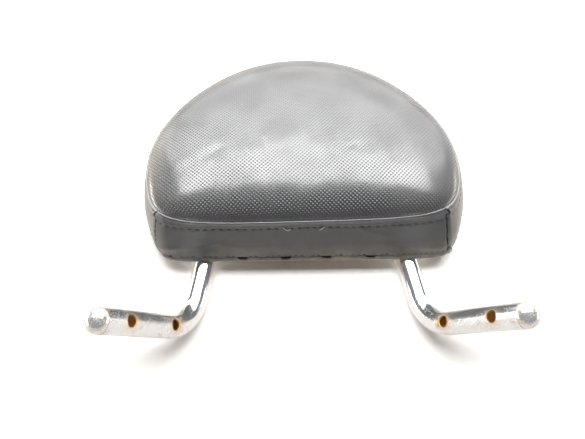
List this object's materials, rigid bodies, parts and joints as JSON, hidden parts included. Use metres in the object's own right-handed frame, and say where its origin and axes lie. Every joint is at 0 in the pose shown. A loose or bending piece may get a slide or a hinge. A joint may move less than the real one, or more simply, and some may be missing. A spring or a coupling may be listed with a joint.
{
  "type": "sissy bar pad",
  "caption": "Half-moon padded vinyl backrest screwed to a bent chrome tube hoop, whose domed arms bend forward and are drilled through for bolts.",
  "frame": {"origin": "on the surface that the hoop lies on, below the middle of the whole part", "axes": "+X across the pad, +Y towards the top of the pad, +Z the way its front faces"},
  "size_m": [0.3066, 0.3056, 0.0955],
  "materials": {
    "chrome": "bright plated, pitted and rust stained on the arms",
    "embossed_vinyl": "black vinyl embossed with small staggered pits",
    "plain_vinyl": "black vinyl with a fine grain, satin",
    "foam": "open cell foam",
    "plywood": "raw plywood",
    "tab_steel": "plated steel",
    "zinc": "zinc plated"
  },
  "bodies": {
    "root": {"hoop_tube": "chrome", "end_dome_left": "chrome", "end_dome_right": "chrome", "front_panel": "embossed_vinyl", "bottom_band": "plain_vinyl", "side_band": "plain_vinyl", "hem_strip": "plain_vinyl", "foam_core": "foam", "base_board": "plywood", "tab_lower_left": "tab_steel", "tab_lower_right": "tab_steel", "tab_upper_left": "tab_steel", "tab_upper_right": "tab_steel", "bolt_lower_left": "zinc", "bolt_lower_right": "zinc", "bolt_upper_left": "zinc", "bolt_upper_right": "zinc", "washer_lower_left": "zinc", "washer_lower_right": "zinc", "washer_upper_left": "zinc", "washer_upper_right": "zinc", "tee_nut_lower_left": "zinc", "tee_nut_lower_right": "zinc", "tee_nut_upper_left": "zinc", "tee_nut_upper_right": "zinc"}
  },
  "joints": []
}
